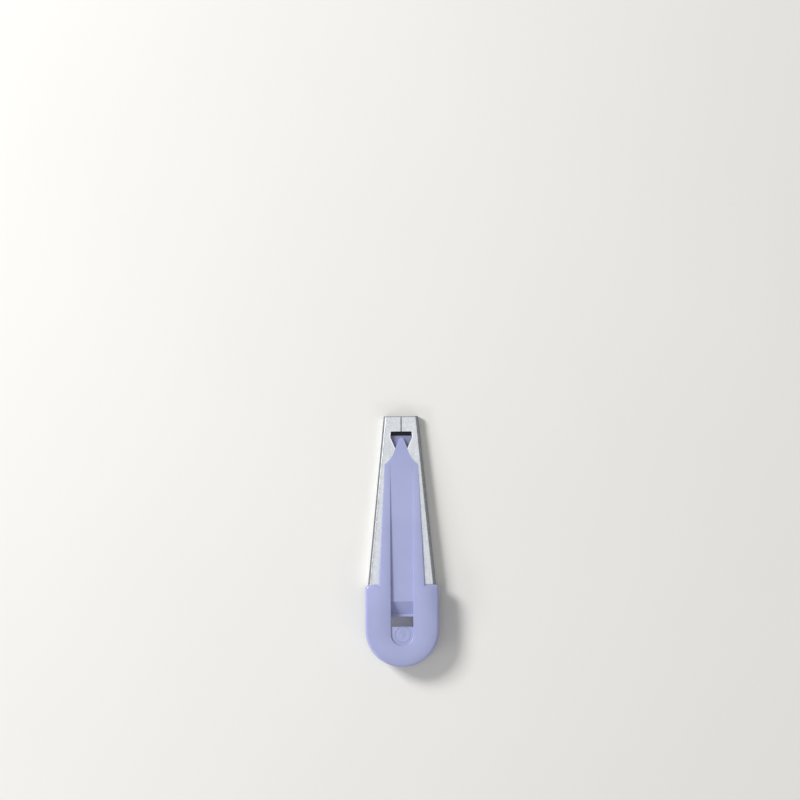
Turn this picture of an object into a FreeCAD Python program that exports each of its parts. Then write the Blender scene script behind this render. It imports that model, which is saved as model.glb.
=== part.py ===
import FreeCAD, Part
import math
import os

# Tape folding tool. A strip of cloth goes in at the wide mouth of the metal folder, passes under
# the folding tongue, and comes out at the narrow end with both edges folded to the middle. A narrow
# fusible web runs up through the slot of the handle, along the guide's channel and down its nose.
#
# Millimetres. +Z is up, +Y points to the narrow end and X is across. The origin lies on the
# metal's underside, at the middle of the tool's length. Places along the tool are given as
# distances back from the narrow end, and back_to_y turns them into Y.

# Driving dimensions: the cloth and the web
tape_width = 9.0
strip_width = 18.0
web_width = 5.0
cloth_room = 0.6

# Driving dimensions: sheet metal
sheet = 0.35
metal_length = 46.9
strip_play = 0.3
narrow_height = 2.6
mouth_height = 4.0
bend_radius = 1.0
seam_gap = 0.2
seam_length = 4.2
window_front_width = 5.8
window_width = 6.14
window_widest_back = 5.8
window_corner_radius = 0.3
flange_gap = 2.6
window_flank_slope = 0.43

# Driving dimensions: folding tongue
tongue_front_back = 5.4
tongue_lift = 0.5
tongue_front_thickness = 0.75
tongue_rear_thickness = 1.55
tongue_setback = 0.5
tongue_edge_radius = 0.3

# Driving dimensions: guide
neck_clearance = 0.15
nose_tip_back = 5.95
nose_tip_width = 1.48
nose_tip_flat = 0.74
nose_tip_length = 0.5
nose_dip = 0.2
nose_rise = 0.35
flare_back = 13.15
flare_width = 8.7
flare_hollow = 0.4
guide_thickness = 0.85
arm_front_width = 9.26
arm_rear_width = 13.04
arm_crown = 0.16
arm_rim_radius = 0.5
arm_front_crown = 0.02
arm_front_rim_radius = 0.08
arm_overlap = 1.5
channel_rim_radius = 0.2
channel_play = 1.2
channel_depth = 1.2
channel_front_back = 13.3
floor_overhang = 4.6
floor_rear_thickness = 2.2
ramp_length = 3.6
ledge_length = 0.7
ledge_thickness = 0.5
slot_length = 2.75

# Driving dimensions: handle
handle_width = 20.6
slot_to_end_centre = 0.95
handle_crown = 0.3
handle_drop = 0.5
shoulder_drop = 0.8
handle_rim_radius = 0.9
handle_foot_radius = 0.3
handle_spans = 6
shoulder_radius = 1.1
recess_depth = 0.3
recess_setback = 1.2
end_plate_thickness = 1.2
handle_wall = 1.3

# Driving dimensions: pegs that hold the tongue
peg_radius = 0.75
peg_clearance = 0.05
peg_count = 3
first_peg_back = 14.0
last_peg_margin = 4.9

# Values worked out from the driving dimensions
floor_end_back = metal_length + floor_overhang
slot_front_back = floor_end_back + ramp_length + ledge_length
slot_rear_back = slot_front_back + slot_length
handle_half = handle_width / 2
handle_end_centre_back = slot_rear_back + slot_to_end_centre
recess_centre_back = handle_end_centre_back + recess_setback
overall_length = handle_end_centre_back + handle_half
narrow_half = tape_width / 2 + sheet
mouth_half = (strip_width + strip_play) / 2 + sheet
channel_half = (web_width + channel_play) / 2
neck_half = flange_gap / 2 - neck_clearance
handle_underside = mouth_height
floor_rear_z = handle_underside + floor_rear_thickness
handle_top = floor_rear_z + channel_depth
recess_floor_z = handle_top - handle_crown - recess_depth
flange_gap_back = window_widest_back + (window_width - flange_gap) / 2 / window_flank_slope
nose_leaves_back = flange_gap_back - (nose_rise + neck_clearance) / window_flank_slope
tongue_rear_back = metal_length - tongue_setback
margin = 2.0
tolerance = 0.01

UP = FreeCAD.Vector(0, 0, 1)
ACROSS = FreeCAD.Vector(1, 0, 0)
ORIGIN = FreeCAD.Vector(0, 0, 0)


def back_to_y(back):
    """Y of a place given as its distance back from the narrow end."""
    return overall_length / 2 - back


def between(back, back_a, value_a, back_b, value_b):
    """Value at a place, on the straight line through two known places."""
    return value_a + (value_b - value_a) * (back - back_a) / (back_b - back_a)


def peg_backs():
    """Places of the pegs, evenly spaced from the first to the last."""
    last_peg_back = metal_length - last_peg_margin
    return [between(i, 0, first_peg_back, peg_count - 1, last_peg_back) for i in range(peg_count)]


def flange_top(back):
    """Height of the metal's top face, which rises from the narrow end to the mouth."""
    return between(back, 0, narrow_height, metal_length, mouth_height)


def metal_half(back):
    """Half the metal's outer width."""
    return between(back, 0, narrow_half, metal_length, mouth_half)


def tongue_half(back):
    """Half the tongue's width, which leaves room for the cloth beside it."""
    return metal_half(back) - sheet - cloth_room


def tongue_underside():
    """Height of the tongue's flat underside, with room for the cloth on the metal's floor."""
    return sheet + tongue_lift


def tongue_top(back):
    """Height of the tongue's top face."""
    thickness = between(
        back, tongue_front_back, tongue_front_thickness, tongue_rear_back, tongue_rear_thickness
    )
    return tongue_underside() + thickness


def arm_half(back):
    """Half the width over the guide's two arms."""
    return between(back, flare_back, arm_front_width / 2, metal_length, arm_rear_width / 2)


def channel_floor(back):
    """Height of the channel's floor, behind the nose."""
    front_z = flange_top(channel_front_back) + guide_thickness
    return between(back, channel_front_back, front_z, floor_end_back, floor_rear_z)


def arm_crest(back):
    """Height of the crest of an arm and of the handle.

    It leaves the channel floor at the front, rises straight to the mouth, and levels off along a
    parabola that ends where the handle's round end begins.
    """
    front_z = channel_floor(channel_front_back)
    levelling = handle_end_centre_back - metal_length
    straight = metal_length - channel_front_back
    slope = (handle_top - front_z) / (straight + levelling / 2)
    if back <= metal_length:
        return front_z + slope * (back - channel_front_back)
    short_of_end = handle_end_centre_back - back
    return handle_top - slope * short_of_end ** 2 / (2 * levelling)


def point(x, back, z):
    """Point from its place across, its distance back and its height."""
    return FreeCAD.Vector(x, back_to_y(back), z)


def line(start, end):
    """Straight edge between two points."""
    return Part.LineSegment(start, end).toShape()


def arc(start, middle, end):
    """Arc edge through three points."""
    return Part.Arc(start, middle, end).toShape()


def mirrored(shape):
    """The same shape on the other side of the tool."""
    return shape.mirror(ORIGIN, ACROSS)


def upright_prism(half_outline, bottom, top):
    """Prism over a closed plan outline. The right half is given, from front to rear."""
    right = [point(x, back, bottom) for x, back in half_outline]
    left = [point(-x, back, bottom) for x, back in reversed(half_outline)]
    corners = []
    for corner in right + left:
        if not corners or corner.distanceToPoint(corners[-1]) > tolerance:
            corners.append(corner)
    if corners[0].distanceToPoint(corners[-1]) > tolerance:
        corners.append(corners[0])
    return Part.Face(Part.makePolygon(corners)).extrude(UP * (top - bottom))


def side_prism(edges, half_width):
    """Prism across the tool over edges drawn in the plane X = 0."""
    face = Part.Face(Part.Wire(edges))
    face.translate(ACROSS * -half_width)
    return face.extrude(ACROSS * (2 * half_width))


def side_polygon(places, half_width):
    """Prism across the tool over a polygon of (back, height) corners."""
    corners = [point(0, back, z) for back, z in places]
    corners.append(corners[0])
    face = Part.Face(Part.makePolygon(corners))
    face.translate(ACROSS * -half_width)
    return face.extrude(ACROSS * (2 * half_width))


def fillet_uprights(shape, radius, places):
    """Round the upright edges that stand at the given (x, back) places, on both sides."""
    chosen = []
    for edge in shape.Edges:
        first = edge.Vertexes[0].Point
        last = edge.Vertexes[-1].Point
        if abs(first.x - last.x) > tolerance or abs(first.y - last.y) > tolerance:
            continue
        for x, back in places:
            if abs(abs(first.x) - x) < tolerance and abs(first.y - back_to_y(back)) < tolerance:
                chosen.append(edge)
    return shape.makeFillet(radius, chosen)


def edges_where(shape, test):
    """Edges whose middle point passes a test of its place across, distance back and height."""
    chosen = []
    for edge in shape.Edges:
        middle = edge.valueAt((edge.FirstParameter + edge.LastParameter) / 2)
        if test(abs(middle.x), overall_length / 2 - middle.y, middle.z):
            chosen.append(edge)
    return chosen


def long_edges(shape):
    """Edges of a block that run along the tool."""
    chosen = []
    for edge in shape.Edges:
        run = edge.Vertexes[0].Point - edge.Vertexes[-1].Point
        if abs(run.y) > metal_length / 2:
            chosen.append(edge)
    return chosen


# Metal folder


def folder_block(inset, start, end):
    """Tapered block with rounded long edges, inset from the metal's outer faces."""
    plan = [(metal_half(start) - inset, start), (metal_half(end) - inset, end)]
    corners = [
        (start, inset),
        (end, inset),
        (end, flange_top(end) - inset),
        (start, flange_top(start) - inset),
    ]
    side = side_polygon(corners, mouth_half + margin)
    block = side.common(upright_prism(plan, -margin, mouth_height + margin))
    return block.makeFillet(bend_radius - inset, long_edges(block))


def window_outline(inset):
    """Right half of the opening between the flanges, from front to rear."""
    return [
        (seam_gap / 2, -margin),
        (seam_gap / 2, seam_length),
        (window_front_width / 2 - inset, seam_length),
        (window_width / 2 - inset, window_widest_back),
        (flange_gap / 2 - inset, flange_gap_back),
        (flange_gap / 2 - inset, metal_length + margin),
    ]


def metal_folder():
    """Tapered shell of one sheet, with its flanges, centre seam and window."""
    outside = folder_block(0, 0, metal_length)
    inside = folder_block(sheet, -margin, metal_length + margin)
    outline = window_outline(0)
    middle = narrow_height / 2
    opening = upright_prism(outline, middle, mouth_height + margin)
    opening = fillet_uprights(opening, window_corner_radius, [outline[2]])
    return outside.cut(inside).cut(opening)


# Folding tongue


def folding_tongue():
    """Wedge-shaped tongue that the cloth folds round, with holes for the guide's pegs."""
    corners = [
        (tongue_front_back, tongue_underside()),
        (tongue_rear_back, tongue_underside()),
        (tongue_rear_back, tongue_top(tongue_rear_back)),
        (tongue_front_back, tongue_top(tongue_front_back)),
    ]
    profile = side_polygon(corners, mouth_half)
    plan = [
        (tongue_half(tongue_front_back), tongue_front_back),
        (tongue_half(tongue_rear_back), tongue_rear_back),
    ]
    body = profile.common(upright_prism(plan, 0, mouth_height))
    body = body.makeFillet(tongue_edge_radius, long_edges(body))
    for back in peg_backs():
        hole = Part.makeCylinder(peg_radius + peg_clearance, mouth_height, point(0, back, 0), UP)
        body = body.cut(hole)
    return body


# Guide and handle


def nose_edges():
    """Curved top of the nose in the plane X = 0, from its tip to the front of the channel."""
    tip_z = flange_top(nose_tip_back) - sheet - nose_dip
    leave_z = flange_top(nose_leaves_back) + nose_rise
    tip = point(0, nose_tip_back, tip_z)
    leave = point(0, nose_leaves_back, leave_z)
    start = point(0, channel_front_back, channel_floor(channel_front_back))
    return [arc(tip, leave, start)]


def profile_prism(edges, places):
    """Prism across the tool: the given top edges, closed through (back, height) places."""
    first = edges[0].Vertexes[0].Point
    last = edges[-1].Vertexes[-1].Point
    corners = [last] + [point(0, back, z) for back, z in places] + [first]
    closing = [line(a, b) for a, b in zip(corners, corners[1:])]
    return side_prism(edges + closing, handle_half)


def nose_flank(back):
    """Half the nose's width inside the window, clear of the window's flank."""
    flank = window_width / 2 - neck_clearance
    return flank - (back - window_widest_back) * window_flank_slope


def neck():
    """Nose and rib: what reaches down to the tongue through the window and the flange gap."""
    rear = tongue_rear_back
    places = [
        (rear, channel_floor(rear)),
        (rear, tongue_top(rear)),
        (nose_tip_back, tongue_top(nose_tip_back)),
    ]
    plan = [
        (nose_tip_flat / 2, nose_tip_back),
        (nose_tip_width / 2, nose_tip_back + nose_tip_length),
        (nose_flank(nose_leaves_back), nose_leaves_back),
        (neck_half, flange_gap_back),
        (neck_half, rear),
    ]
    return profile_prism(nose_edges(), places).common(upright_prism(plan, 0, handle_top))


def flare_half():
    """Right half of the plate's plan over the flanges, with its hollow flank."""
    rear_back = channel_front_back
    leave_half = nose_flank(nose_leaves_back)
    corner_half = flare_width / 2
    middle_half = leave_half + (corner_half - leave_half) * flare_hollow
    middle_back = flare_back - (flare_back - nose_leaves_back) * flare_hollow
    inner = point(0, nose_leaves_back, 0)
    leave = point(leave_half, nose_leaves_back, 0)
    middle = point(middle_half, middle_back, 0)
    corner = point(corner_half, flare_back, 0)
    outer = point(arm_half(rear_back), rear_back, 0)
    rear = point(0, rear_back, 0)
    edges = [
        line(inner, leave),
        arc(leave, middle, corner),
        line(corner, outer),
        line(outer, rear),
        line(rear, inner),
    ]
    return Part.Face(Part.Wire(edges)).extrude(UP * handle_top)


def plate():
    """Flared plate that lies on the flanges, and the channel's floor with its ramp and ledge."""
    ramp_foot_back = floor_end_back + ramp_length
    ledge_top = handle_underside + ledge_thickness
    places = [
        (floor_end_back, floor_rear_z),
        (ramp_foot_back, ledge_top),
        (slot_front_back, ledge_top),
        (slot_front_back, handle_underside),
        (metal_length, handle_underside),
        (nose_tip_back, flange_top(nose_tip_back)),
    ]
    profile = profile_prism(nose_edges(), places)
    flank = flare_half()
    strip = upright_prism([(channel_half, flare_back), (channel_half, slot_front_back)], 0, handle_top)
    plan = flank.fuse([mirrored(flank), strip])
    return profile.common(plan)


def crowned_section(back, crest, outer, bottom, ridge, inner_drop, outer_drop):
    """Closed section of the right arm or side: upright walls under a crowned top."""
    inner_foot = point(channel_half, back, bottom)
    outer_foot = point(outer, back, bottom)
    outer_top = point(outer, back, crest - outer_drop)
    crown = point(ridge, back, crest)
    inner_top = point(channel_half, back, crest - inner_drop)
    edges = [
        line(inner_foot, outer_foot),
        line(outer_foot, outer_top),
        arc(outer_top, crown, inner_top),
        line(inner_top, inner_foot),
    ]
    return Part.Wire(edges)


def arm_ridge(back):
    """Place across of an arm's crest, halfway over its width."""
    return (channel_half + arm_half(back)) / 2


def arm_section(back, crest, crown):
    """Section of the right arm, from the metal up to its crest."""
    return crowned_section(back, crest, arm_half(back), flange_top(back), arm_ridge(back), crown, crown)


def arm_top_edges(body, wall):
    """Edges along the top of an arm, over the wall whose place across depends on the place along."""

    def on_top(x, back, z):
        over_wall = abs(x - wall(back)) < tolerance
        return over_wall and back < metal_length and z > flange_top(back) + guide_thickness

    return edges_where(body, on_top)


def right_arm():
    """Arm beside the channel. It rises from nothing at the front and runs on into the handle."""
    front = channel_front_back
    rear = metal_length + arm_overlap
    slope = arm_crest(metal_length) - arm_crest(metal_length - 1)
    rear_crest = arm_crest(metal_length) + slope * arm_overlap
    rear_crown = between(rear, front, arm_front_crown, metal_length, arm_crown)
    sections = [
        arm_section(front, arm_crest(front), arm_front_crown),
        arm_section(rear, rear_crest, rear_crown),
    ]
    body = Part.makeLoft(sections, True, True)
    outer = arm_top_edges(body, arm_half)
    body = body.makeFillet(arm_front_rim_radius, arm_rim_radius, outer)
    inner = arm_top_edges(body, lambda back: channel_half)
    return body.makeFillet(arm_front_rim_radius, channel_rim_radius, inner)


def handle_section(back):
    """Closed section of the handle's right side. Its ridge moves out from the arm's to the middle."""
    share = (back - metal_length) / (handle_end_centre_back - metal_length)
    ease = share * share * (3 - 2 * share)
    ridge = between(ease, 0, arm_ridge(metal_length), 1, (channel_half + handle_half) / 2)
    inner_drop = between(ease, 0, arm_crown, 1, handle_crown)
    outer_drop = between(ease, 0, shoulder_drop, 1, handle_drop)
    return crowned_section(
        back, arm_crest(back), handle_half, handle_underside, ridge, inner_drop, outer_drop
    )


def right_shoulder_cutter():
    """What rounding the handle's upright front corner takes away."""
    r = shoulder_radius
    corner = point(handle_half - r, metal_length + r, 0)
    block = Part.makeBox(r + margin, r + margin, handle_top + margin, corner)
    return block.cut(Part.makeCylinder(r, handle_top + margin, corner, UP))


def round_the_end(face):
    """Sweep a section of the right side half a turn round the handle's end."""
    centre = point(0, handle_end_centre_back, 0)
    return face.revolve(centre, UP * -1, 180)


def handle_blank():
    """Round-ended U behind the mouth, crowned on top, with a rounded rim and foot."""
    end = handle_end_centre_back
    backs = [between(i, 0, metal_length, handle_spans, end) for i in range(handle_spans + 1)]
    side = Part.makeLoft([handle_section(back) for back in backs], True, False)
    side = side.cut(right_shoulder_cutter())
    bend = round_the_end(Part.Face(handle_section(end)))
    body = side.fuse([mirrored(side), bend]).removeSplitter()
    inside = arm_ridge(metal_length)
    middle = (handle_underside + handle_top) / 2
    foot_top = handle_underside + tolerance

    def is_outer(x, back):
        on_side = x > inside and back < end - tolerance
        return on_side or back > end + inside

    rim = edges_where(body, lambda x, back, z: is_outer(x, back) and z > middle)
    body = body.makeFillet(handle_rim_radius, rim)
    foot = edges_where(body, lambda x, back, z: is_outer(x, back) and z < foot_top)
    return body.makeFillet(handle_foot_radius, foot)


def pocket():
    """Hollow under the handle's U, open below."""
    end = handle_end_centre_back
    inner = channel_half + handle_wall
    outer = handle_half - handle_wall
    roof = recess_floor_z - end_plate_thickness
    corners = [
        point(inner, end, 0),
        point(outer, end, 0),
        point(outer, end, roof),
        point(inner, end, roof),
        point(inner, end, 0),
    ]
    face = Part.Face(Part.makePolygon(corners))
    side = face.extrude(FreeCAD.Vector(0, end - metal_length - handle_wall, 0))
    return side.fuse([mirrored(side), round_the_end(face)])


def end_plate():
    """Plate that closes the handle's U behind the slot."""
    end = handle_end_centre_back
    bottom = recess_floor_z - end_plate_thickness
    strip = upright_prism([(channel_half, slot_rear_back), (channel_half, end)], bottom, handle_top)
    disc = Part.makeCylinder(channel_half, handle_top - bottom, point(0, end, bottom), UP)
    behind_slot = upright_prism(
        [(channel_half, slot_rear_back), (channel_half, end + channel_half)], bottom, handle_top
    )
    return strip.fuse(disc.common(behind_slot))


def recess():
    """Round-ended recess in the top behind the slot, for the size mark."""
    plan = [(channel_half, slot_rear_back), (channel_half, recess_centre_back)]
    height = handle_top - recess_floor_z
    disc = Part.makeCylinder(channel_half, height, point(0, recess_centre_back, recess_floor_z), UP)
    return upright_prism(plan, recess_floor_z, handle_top).fuse(disc)


def handle():
    """Handle with its pocket, end plate and recess, and soft edges round the channel."""
    body = handle_blank().cut(pocket()).fuse(end_plate()).cut(recess()).removeSplitter()
    rim = edges_where(body, is_channel_rim)
    return body.makeFillet(channel_rim_radius, rim)


def is_channel_rim(x, back, z):
    """Whether a place lies on the upper edge of the channel or of the recess."""
    beside = abs(x - channel_half) < tolerance and metal_length < back < recess_centre_back
    from_centre = math.hypot(x, back - recess_centre_back)
    behind = back > recess_centre_back and abs(from_centre - channel_half) < tolerance
    return (beside or behind) and z > recess_floor_z + tolerance


def guide_handle():
    """One moulding: nose, neck, plate, arms, handle and the pegs that carry the tongue."""
    arm = right_arm()
    pegs = []
    for back in peg_backs():
        height = flange_top(back) - tongue_underside()
        pegs.append(Part.makeCylinder(peg_radius, height, point(0, back, tongue_underside()), UP))
    return plate().fuse([neck(), arm, mirrored(arm), handle()] + pegs).removeSplitter()


def build():
    """Build every piece and write one file for each."""
    pieces = {
        "metal_folder": metal_folder(),
        "folding_tongue": folding_tongue(),
        "guide_handle": guide_handle(),
    }
    os.makedirs("parts", exist_ok=True)
    for name, shape in pieces.items():
        print(name, len(shape.Solids), round(shape.Volume, 2), shape.isValid())
        shape.exportStep("parts/" + name + ".step")


build()
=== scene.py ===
import math

import bmesh
import bpy
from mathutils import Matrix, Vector

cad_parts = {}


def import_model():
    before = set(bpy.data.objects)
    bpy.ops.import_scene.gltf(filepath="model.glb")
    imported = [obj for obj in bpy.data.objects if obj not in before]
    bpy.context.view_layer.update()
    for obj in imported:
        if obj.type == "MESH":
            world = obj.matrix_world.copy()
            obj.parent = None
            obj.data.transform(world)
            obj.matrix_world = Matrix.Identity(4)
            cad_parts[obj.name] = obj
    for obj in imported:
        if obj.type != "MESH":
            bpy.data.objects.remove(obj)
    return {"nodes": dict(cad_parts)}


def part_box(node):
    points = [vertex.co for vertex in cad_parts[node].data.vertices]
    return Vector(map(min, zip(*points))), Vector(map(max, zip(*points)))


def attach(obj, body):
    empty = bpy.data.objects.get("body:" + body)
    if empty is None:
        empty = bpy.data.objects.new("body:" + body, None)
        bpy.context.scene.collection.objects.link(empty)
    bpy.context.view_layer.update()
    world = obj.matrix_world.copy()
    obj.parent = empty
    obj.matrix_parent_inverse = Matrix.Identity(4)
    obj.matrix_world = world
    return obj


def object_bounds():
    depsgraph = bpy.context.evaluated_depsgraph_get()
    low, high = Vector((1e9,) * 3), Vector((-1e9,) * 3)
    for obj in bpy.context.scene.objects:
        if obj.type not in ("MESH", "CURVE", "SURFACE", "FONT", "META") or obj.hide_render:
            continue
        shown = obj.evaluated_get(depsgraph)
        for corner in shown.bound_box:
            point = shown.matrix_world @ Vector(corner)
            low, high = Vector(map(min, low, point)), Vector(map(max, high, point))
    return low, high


# The tape folding tool lies on a pale floor, seen from straight above, in metres.
# +Y points to the narrow end of the metal folder, +Z is up.

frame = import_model()
nodes = frame["nodes"]
cad_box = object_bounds()

MM = 0.001

# Framing: the photograph's scale, and the pixel on which the tool's centre lies
METRES_PER_PIXEL = 0.28 * MM
FRAME_PIXELS = 800
TOOL_CENTRE_PIXEL = (401.8, 541.0)
TOOL_TILT = math.radians(0.35)
CAMERA_HEIGHT = 1.1
CAMERA_REACH = 10.0
SENSOR_WIDTH = 36.0

# Colours, and shades that others are multiplied by
LAVENDER = (0.365, 0.393, 0.652)
LAVENDER_LIGHT = (0.405, 0.433, 0.700)
# Tongue: a darker copy of the lavender, a little from its own darker plastic and mostly painted shade
# for where it lies inside the folder
TONGUE_PAINTED_SHADE = (0.235, 0.247, 0.430)
TONGUE_PAINTED_SHADE_PALER = (0.270, 0.283, 0.480)
PLATED = (0.80, 0.83, 0.87)
PLATED_GRAIN = (0.64, 0.664, 0.696)
BRIGHT_EDGE = (0.95, 0.96, 0.97)
FLOOR = (0.88, 0.87, 0.84)
FLOOR_LIGHT = (0.8976, 0.8874, 0.8568)
NO_SHADE = (1, 1, 1)
FAINT_SHADE = (0.95, 0.95, 0.95)
# Painted shade and painted dark reflection on the steep bends, and painted shade at the narrow cut edge
# and beside the seam
EDGE_PAINTED_SHADE = (0.30, 0.31, 0.33)
# Painted shade for the folder's inner faces, which lie in shadow
INSIDE_PAINTED_SHADE = (0.12, 0.12, 0.13)

# Gloss, as the least and the greatest roughness
PLASTIC_ROUGHNESS = (0.17, 0.25)
PLATED_ROUGHNESS = (0.25, 0.34)
LIP_ROUGHNESS = (0.12, 0.20)
INSIDE_ROUGHNESS = 0.6
FLOOR_ROUGHNESS = 0.7
PLASTIC_IOR = 1.49

# Noise, in cells per metre. A stretch below 1 draws the cells out along that axis.
PLASTIC_DRIFT_CELLS = 90.0
PLASTIC_GLOSS_CELLS = 700.0
PLASTIC_GRAIN_CELLS = 2600.0
METAL_DRIFT_CELLS = 500.0
METAL_GRAIN_CELLS = 3200.0
METAL_LINE_CELLS = 5000.0
LIP_DRIFT_CELLS = 3000.0
FLOOR_DRIFT_CELLS = 12.0
METAL_GRAIN_STRETCH = (1.0, 0.6, 1.0)
METAL_LINE_STRETCH = (1.0, 0.05, 1.0)

# Relief
PLASTIC_GRAIN_HEIGHT = 0.0012 * MM
METAL_LINE_HEIGHT = 0.0004 * MM
LIP_GRAIN_HEIGHT = 0.001 * MM

# Painted shade on the metal's edges: upright part of the normal where a bend is steep and where it
# leaves the wall, distances back between which the narrow edge darkens, and how dark and wide the
# seam's sides are
BEND_STEEP = (0.68, 0.84)
BEND_LEAVES_WALL = (0.05, 0.35)
NARROW_EDGE_BACK = (0.25 * MM, 0.1 * MM)
SEAM_SHARE = 0.8
SEAM_REACH = 0.14 * MM

# Sky: strengths low down, high up and in the bright cap overhead. Heights run from 0 at the
# horizon to 1 overhead, and the shares make the left brighter than the right.
LOW_STRENGTH = 0.37
HIGH_STRENGTH = 0.13
CAP_STRENGTH = 0.98
LOW_END = 0.58
HIGH_START = 0.86
CAP_START = 0.90
CAP_END = 0.975
LEFT_SHARE = 1.15
RIGHT_SHARE = 0.75
SIDE_REACH = 0.7

# Lamps: name; azimuth, elevation and distance; width and height; power
LAMPS = (
    ("key", (145, 37, 1.0), (0.30, 0.30), 7.9),
    ("left_kicker", (210, 27, 0.9), (0.40, 0.18), 1.3),
    ("right_kicker", (307, 27, 0.9), (0.40, 0.14), 0.6),
)
FLOOR_HALF = 3.0

# Metal folder, as its painted shade needs it. A face that lies deeper than the inset counts as inside.
SHEET = 0.35 * MM
INSET = 0.9 * SHEET
NARROW_HALF = 4.85 * MM
WIDE_HALF = 9.5 * MM
NARROW_TOP = 2.6 * MM
SEAM_HALF = 0.1 * MM
SEAM_LENGTH = 4.2 * MM

# Window in the metal: half widths and distances back of its slanted sides
WINDOW = (
    (2.93 * MM, 4.6 * MM),
    (3.07 * MM, 5.8 * MM),
    (2.28 * MM, 7.63 * MM),
    (1.5 * MM, 9.45 * MM),
)
LIP_WIDTH = 0.26 * MM
LIP_HEIGHT = 0.012 * MM

# Edges of added pieces that turn by more than this stay sharp
SHARP_ANGLE = math.radians(40)

# Size mark in the handle's recess. The share is the numeral's height in its font's size.
MARK_BACK = 60.7 * MM
MARK_RADIUS = 2.15 * MM
MARK_LINE = 0.11 * MM
RING_POINTS = 96
NUMERAL_HEIGHT = 2.3 * MM
NUMERAL_SHARE = 0.72
RECESS_FLOOR = 6.8 * MM


def y_of_back(back):
    """Y of a place given as its distance back from the narrow end."""
    return cad_box[1][1] - back


def top_of_flange(back):
    """Height of the metal's top face."""
    low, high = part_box("metal_folder")
    return NARROW_TOP + (high[2] - NARROW_TOP) * back / (high[1] - low[1])


# Node helpers


def new_material(name):
    """A node material with its tree, shader and object coordinates."""
    material = bpy.data.materials.new(name)
    material.use_nodes = True
    tree = material.node_tree
    shader = tree.nodes["Principled BSDF"]
    coordinates = tree.nodes.new("ShaderNodeTexCoord")
    return material, tree, shader, coordinates.outputs["Object"]


def noise(tree, place, scale, detail, stretch=(1, 1, 1)):
    """Noise over the object's own coordinates, in cells per metre."""
    mapping = tree.nodes.new("ShaderNodeMapping")
    mapping.inputs["Scale"].default_value = stretch
    tree.links.new(place, mapping.inputs["Vector"])
    texture = tree.nodes.new("ShaderNodeTexNoise")
    texture.inputs["Scale"].default_value = scale
    texture.inputs["Detail"].default_value = detail
    tree.links.new(mapping.outputs["Vector"], texture.inputs["Vector"])
    return texture.outputs["Fac"]


def spread(tree, value, low, high, start=0.3, end=0.7):
    """Maps a value onto a range. Noise lies mostly between the default start and end."""
    node = tree.nodes.new("ShaderNodeMapRange")
    node.inputs["From Min"].default_value = start
    node.inputs["From Max"].default_value = end
    node.inputs["To Min"].default_value = low
    node.inputs["To Max"].default_value = high
    tree.links.new(value, node.inputs["Value"])
    return node.outputs["Result"]


def calculate(tree, operation, first, second):
    """Result of one operation on two values, each a socket or a number."""
    node = tree.nodes.new("ShaderNodeMath")
    node.operation = operation
    for value, socket in zip((first, second), node.inputs):
        if isinstance(value, (int, float)):
            socket.default_value = value
        else:
            tree.links.new(value, socket)
    return node.outputs["Value"]


def blend_colours(tree, value, first, second):
    """Colour between two colours, by a value from 0 to 1."""
    node = tree.nodes.new("ShaderNodeMix")
    node.data_type = "RGBA"
    node.inputs["A"].default_value = (*first, 1)
    node.inputs["B"].default_value = (*second, 1)
    tree.links.new(value, node.inputs["Factor"])
    return node.outputs["Result"]


def multiply_colours(tree, first, second):
    """Product of two colours."""
    node = tree.nodes.new("ShaderNodeMix")
    node.data_type = "RGBA"
    node.blend_type = "MULTIPLY"
    node.inputs["Factor"].default_value = 1.0
    tree.links.new(first, node.inputs["A"])
    tree.links.new(second, node.inputs["B"])
    return node.outputs["Result"]


def bump(tree, shader, height):
    """Relief on the shader's normal, from a height in metres."""
    node = tree.nodes.new("ShaderNodeBump")
    node.inputs["Distance"].default_value = 1.0
    tree.links.new(height, node.inputs["Height"])
    tree.links.new(node.outputs["Normal"], shader.inputs["Normal"])


# Materials


def lavender_plastic(name, colour, lighter):
    """Satin moulding with a faint colour drift and a fine spark-eroded grain."""
    material, tree, shader, place = new_material(name)
    drift = spread(tree, noise(tree, place, PLASTIC_DRIFT_CELLS, detail=3.0), 0.0, 1.0)
    tree.links.new(blend_colours(tree, drift, colour, lighter), shader.inputs["Base Color"])
    gloss = noise(tree, place, PLASTIC_GLOSS_CELLS, detail=5.0)
    tree.links.new(spread(tree, gloss, *PLASTIC_ROUGHNESS), shader.inputs["Roughness"])
    shader.inputs["IOR"].default_value = PLASTIC_IOR
    grain = noise(tree, place, PLASTIC_GRAIN_CELLS, detail=2.0)
    bump(tree, shader, calculate(tree, "MULTIPLY", grain, PLASTIC_GRAIN_HEIGHT))
    return material


def edge_painted_shade(tree, place):
    """Painted shade mask: 1 on the steep part of the long bends and along the narrow cut edge, less by
    the seam, else 0.
    """
    normal = tree.nodes.new("ShaderNodeTexCoord").outputs["Normal"]
    tilt = tree.nodes.new("ShaderNodeSeparateXYZ")
    tree.links.new(normal, tilt.inputs["Vector"])
    steep = spread(tree, tilt.outputs["Z"], 1.0, 0.0, *BEND_STEEP)
    rounded = spread(tree, tilt.outputs["Z"], 0.0, 1.0, *BEND_LEAVES_WALL)
    bend = calculate(tree, "MULTIPLY", steep, rounded)
    split = tree.nodes.new("ShaderNodeSeparateXYZ")
    tree.links.new(place, split.inputs["Vector"])
    edge_start, edge_end = (y_of_back(back) for back in NARROW_EDGE_BACK)
    edge = spread(tree, split.outputs["Y"], 0.0, 1.0, edge_start, edge_end)
    across = calculate(tree, "ABSOLUTE", split.outputs["X"], 0.0)
    by_seam = spread(tree, across, SEAM_SHARE, 0.0, SEAM_HALF, SEAM_HALF + SEAM_REACH)
    at_front = calculate(tree, "GREATER_THAN", split.outputs["Y"], y_of_back(SEAM_LENGTH))
    seam = calculate(tree, "MULTIPLY", by_seam, at_front)
    bend_or_edge = calculate(tree, "MAXIMUM", bend, edge)
    return calculate(tree, "MAXIMUM", bend_or_edge, seam)


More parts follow.
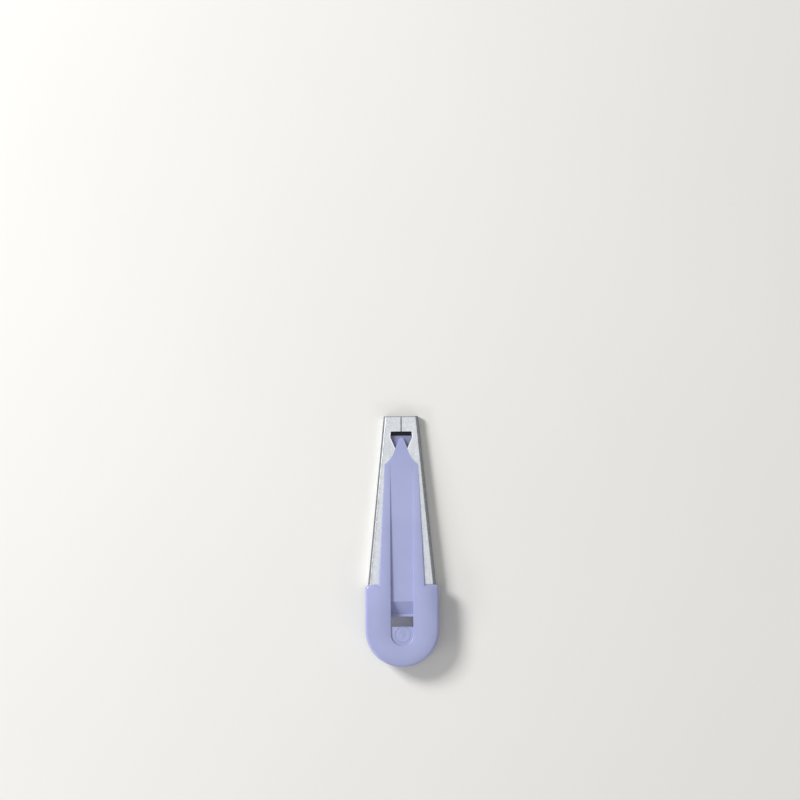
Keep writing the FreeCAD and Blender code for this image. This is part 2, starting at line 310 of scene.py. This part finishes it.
def inside_of_folder(tree, place):
    """1 on the inner faces of the metal folder, 0 on its outer faces; it places painted shade and
    higher roughness inside.
    """
    low, high = (Vector(corner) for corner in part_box("metal_folder"))
    taper = (WIDE_HALF - NARROW_HALF) / (high.y - low.y)
    split = tree.nodes.new("ShaderNodeSeparateXYZ")
    tree.links.new(place, split.inputs["Vector"])
    across = calculate(tree, "ABSOLUTE", split.outputs["X"], 0.0)
    run = calculate(tree, "SUBTRACT", high.y, split.outputs["Y"])
    wall = calculate(tree, "MULTIPLY_ADD", run, taper)
    wall.node.inputs[2].default_value = NARROW_HALF - INSET
    between_walls = calculate(tree, "LESS_THAN", across, wall)
    rise = (high.z - NARROW_TOP) / (high.y - low.y)
    roof = calculate(tree, "MULTIPLY_ADD", run, rise)
    roof.node.inputs[2].default_value = NARROW_TOP - INSET
    under_roof = calculate(tree, "LESS_THAN", split.outputs["Z"], roof)
    above_floor = calculate(tree, "GREATER_THAN", split.outputs["Z"], INSET)
    boxed = calculate(tree, "MULTIPLY", between_walls, under_roof)
    return calculate(tree, "MULTIPLY", boxed, above_floor)


def plated_metal():
    """Bright satin plating with fine grain and faint drawing lines, rougher and darkened by painted
    shade inside the fold, with painted shade on its bends, narrow edge and seam.
    """
    material, tree, shader, place = new_material("plated_sheet")
    shader.inputs["Metallic"].default_value = 1.0
    inside = inside_of_folder(tree, place)
    grain = noise(tree, place, METAL_GRAIN_CELLS, detail=3.0, stretch=METAL_GRAIN_STRETCH)
    colour = blend_colours(tree, spread(tree, grain, 0.0, 1.0), PLATED_GRAIN, PLATED)
    drift = spread(tree, noise(tree, place, METAL_DRIFT_CELLS, detail=2.0), 0.0, 1.0)
    # After the random drift, painted shade darkens the folder's inner faces and its bends, narrow edge
    # and seam sides
    for value, shade_at_0, shade_at_1 in (
        (drift, FAINT_SHADE, NO_SHADE),
        (inside, NO_SHADE, INSIDE_PAINTED_SHADE),
        (edge_painted_shade(tree, place), NO_SHADE, EDGE_PAINTED_SHADE),
    ):
        colour = multiply_colours(tree, colour, blend_colours(tree, value, shade_at_0, shade_at_1))
    tree.links.new(colour, shader.inputs["Base Color"])
    lines = noise(tree, place, METAL_LINE_CELLS, detail=3.0, stretch=METAL_LINE_STRETCH)
    dull = calculate(tree, "MULTIPLY", inside, INSIDE_ROUGHNESS)
    rough = calculate(tree, "MAXIMUM", spread(tree, lines, *PLATED_ROUGHNESS), dull)
    tree.links.new(rough, shader.inputs["Roughness"])
    bump(tree, shader, calculate(tree, "MULTIPLY", lines, METAL_LINE_HEIGHT))
    return material


def bright_edge():
    """Burnished lip of the sheet."""
    material, tree, shader, place = new_material("bright_edge")
    shader.inputs["Metallic"].default_value = 1.0
    drift = spread(tree, noise(tree, place, LIP_DRIFT_CELLS, detail=3.0), 0.0, 1.0)
    tree.links.new(blend_colours(tree, drift, PLATED, BRIGHT_EDGE), shader.inputs["Base Color"])
    tree.links.new(spread(tree, drift, *LIP_ROUGHNESS, 0.0, 1.0), shader.inputs["Roughness"])
    bump(tree, shader, calculate(tree, "MULTIPLY", drift, LIP_GRAIN_HEIGHT))
    return material


def floor_material():
    """Pale matt floor."""
    material, tree, shader, place = new_material("pale_floor")
    drift = spread(tree, noise(tree, place, FLOOR_DRIFT_CELLS, detail=3.0), 0.0, 1.0)
    tree.links.new(blend_colours(tree, drift, FLOOR, FLOOR_LIGHT), shader.inputs["Base Color"])
    shader.inputs["Roughness"].default_value = FLOOR_ROUGHNESS
    return material


def dress(node, material):
    """Gives a CAD node one material."""
    mesh = nodes[node].data
    mesh.materials.clear()
    mesh.materials.append(material)


dress("metal_folder", plated_metal())
# The tongue's plastic carries painted shade in its colours.
dress("folding_tongue", lavender_plastic("tongue_plastic", TONGUE_PAINTED_SHADE, TONGUE_PAINTED_SHADE_PALER))
dress("guide_handle", lavender_plastic("guide_plastic", LAVENDER, LAVENDER_LIGHT))


# Added pieces


def ring_curve(name, radius, line):
    """Ring with a round section, as a curve object. The line is the section's radius."""
    data = bpy.data.curves.new(name, "CURVE")
    data.dimensions = "3D"
    data.bevel_depth = line
    data.bevel_resolution = 3
    spline = data.splines.new("POLY")
    spline.points.add(RING_POINTS - 1)
    for i, point in enumerate(spline.points):
        turn = 2 * math.pi * i / RING_POINTS
        point.co = (radius * math.cos(turn), radius * math.sin(turn), 0, 1)
    spline.use_cyclic_u = True
    return bpy.data.objects.new(name, data)


def as_mesh(obj, material):
    """Puts the object in the scene as a plain mesh with one material."""
    bpy.context.scene.collection.objects.link(obj)
    bpy.context.view_layer.update()
    mesh = bpy.data.meshes.new_from_object(obj.evaluated_get(bpy.context.evaluated_depsgraph_get()))
    mesh.materials.clear()
    mesh.materials.append(material)
    for face in mesh.polygons:
        face.use_smooth = True
    piece = bpy.data.objects.new(obj.name + "_mesh", mesh)
    piece.location = obj.location
    bpy.context.scene.collection.objects.link(piece)
    bpy.data.objects.remove(obj)
    return piece


def swept_piece(name, loops, material):
    """Closed solid swept through a row of loops of points."""
    count = len(loops[0])
    points = [point for loop in loops for point in loop]
    last = len(points) - count
    faces = [tuple(range(count)), tuple(range(last, last + count))]
    for start in range(0, last, count):
        for j in range(count):
            a, b = start + j, start + (j + 1) % count
            faces.append((a, b, b + count, a + count))
    mesh = bpy.data.meshes.new(name)
    mesh.from_pydata(points, [], faces)
    shape = bmesh.new()
    shape.from_mesh(mesh)
    bmesh.ops.recalc_face_normals(shape, faces=shape.faces)
    for edge in shape.edges:
        edge.smooth = edge.calc_face_angle() < SHARP_ANGLE
    for face in shape.faces:
        face.smooth = True
    shape.to_mesh(mesh)
    shape.free()
    mesh.materials.append(material)
    piece = bpy.data.objects.new(name, mesh)
    bpy.context.scene.collection.objects.link(piece)
    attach(piece, "root")


def window_lips():
    """Bright burnished lip along the punched, slanted sides of the window."""
    metal = bright_edge()
    for name, side in (("window_lip_left", -1), ("window_lip_right", 1)):
        loops = []
        for half, back in WINDOW:
            y, top = y_of_back(back), top_of_flange(back)
            rises = ((0, 0), (LIP_WIDTH / 2, LIP_HEIGHT), (LIP_WIDTH, 0))
            loops.append([(side * (half + out), y, top + up) for out, up in rises])
        swept_piece(name, loops, metal)


def size_mark():
    """Raised ring with the tape's width in millimetres, in the recess of the handle."""
    plastic = nodes["guide_handle"].data.materials[0]
    place = Vector((0, y_of_back(MARK_BACK), RECESS_FLOOR))
    ring = ring_curve("size_ring", MARK_RADIUS, MARK_LINE)
    ring.location = place
    text = bpy.data.curves.new("size_numeral", "FONT")
    text.body = "9"
    text.align_x = "CENTER"
    text.align_y = "CENTER"
    text.size = NUMERAL_HEIGHT / NUMERAL_SHARE
    text.extrude = MARK_LINE / 2
    text.bevel_depth = MARK_LINE / 4
    text.bevel_resolution = 2
    numeral = bpy.data.objects.new("size_numeral", text)
    numeral.location = place
    for obj in (ring, numeral):
        piece = as_mesh(obj, plastic)
        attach(piece, "root")


size_mark()
window_lips()


# Studio


def floor():
    """Large pale floor under the tool."""
    corners = [(x * FLOOR_HALF, y * FLOOR_HALF, 0) for x, y in ((-1, -1), (1, -1), (1, 1), (-1, 1))]
    mesh = bpy.data.meshes.new("floor")
    mesh.from_pydata(corners, [], [(0, 1, 2, 3)])
    obj = bpy.data.objects.new("floor", mesh)
    bpy.context.scene.collection.objects.link(obj)
    mesh.materials.append(floor_material())


def around(azimuth, elevation, distance):
    """Place round the tool. The azimuth turns from +X to +Y, in degrees."""
    turn, lift = math.radians(azimuth), math.radians(elevation)
    flat = distance * math.cos(lift)
    return (flat * math.cos(turn), flat * math.sin(turn), distance * math.sin(lift))


def area_lamp(name, place, size, power):
    """Soft rectangular lamp, of a width and a height, aimed at the tool."""
    data = bpy.data.lights.new(name, "AREA")
    data.shape = "RECTANGLE"
    data.size, data.size_y = size
    data.energy = power
    obj = bpy.data.objects.new(name, data)
    obj.location = place
    obj.rotation_mode = "QUATERNION"
    obj.rotation_quaternion = (-Vector(place)).to_track_quat("-Z", "Y")
    bpy.context.scene.collection.objects.link(obj)


def world():
    """Pale dome with a bright cap overhead and a darker ring below it, so that bends in metal show."""
    data = bpy.data.worlds.new("studio")
    bpy.context.scene.world = data
    data.use_nodes = True
    tree = data.node_tree
    background = tree.nodes["Background"]
    background.inputs["Color"].default_value = (1, 1, 1, 1)
    direction = tree.nodes.new("ShaderNodeTexCoord")
    split = tree.nodes.new("ShaderNodeSeparateXYZ")
    tree.links.new(direction.outputs["Generated"], split.inputs["Vector"])
    height = split.outputs["Z"]
    dome = spread(tree, height, LOW_STRENGTH, HIGH_STRENGTH, LOW_END, HIGH_START)
    side = spread(tree, split.outputs["X"], LEFT_SHARE, RIGHT_SHARE, -SIDE_REACH, SIDE_REACH)
    cap = spread(tree, height, 0.0, CAP_STRENGTH, CAP_START, CAP_END)
    sided = calculate(tree, "MULTIPLY", dome, side)
    tree.links.new(calculate(tree, "ADD", sided, cap), background.inputs["Strength"])


def camera():
    """Straight down, framed as the photograph is."""
    middle = FRAME_PIXELS / 2
    right = (middle - TOOL_CENTRE_PIXEL[0]) * METRES_PER_PIXEL
    up = (TOOL_CENTRE_PIXEL[1] - middle) * METRES_PER_PIXEL
    data = bpy.data.cameras.new("camera")
    data.sensor_width = SENSOR_WIDTH
    frame_width = FRAME_PIXELS * METRES_PER_PIXEL
    data.lens = SENSOR_WIDTH * CAMERA_HEIGHT / frame_width
    data.clip_end = CAMERA_REACH
    obj = bpy.data.objects.new("camera", data)
    cos, sin = math.cos(TOOL_TILT), math.sin(TOOL_TILT)
    obj.location = (right * cos + up * sin, up * cos - right * sin, CAMERA_HEIGHT)
    obj.rotation_euler = (0, 0, -TOOL_TILT)
    bpy.context.scene.collection.objects.link(obj)
    bpy.context.scene.camera = obj


floor()
world()
for name, place, size, power in LAMPS:
    area_lamp(name, around(*place), size, power)
camera()
bpy.context.scene.view_settings.view_transform = "Standard"
